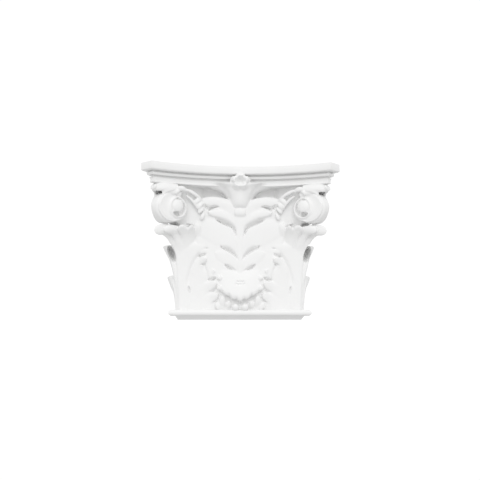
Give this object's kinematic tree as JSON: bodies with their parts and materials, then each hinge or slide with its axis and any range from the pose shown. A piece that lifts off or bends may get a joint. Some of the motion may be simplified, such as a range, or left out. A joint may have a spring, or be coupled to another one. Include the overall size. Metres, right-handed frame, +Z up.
{
  "type": "corinthian pilaster capital",
  "caption": "Corinthian pilaster capital with a hollow-sided abacus, corner volutes, wrapped acanthus leaves, a flower and an astragal, flat at the back to stand against a wall.",
  "frame": {"origin": "the middle of the flat bed on which the capital rests on its shaft", "axes": "+Z up, -Y to the front, +Y to the wall, +X to the right seen from the front"},
  "size_m": [0.304, 0.1205, 0.238],
  "materials": {
    "plaster": "smooth matt white cast plaster"
  },
  "bodies": {
    "root": {"capital": "plaster"}
  },
  "joints": []
}
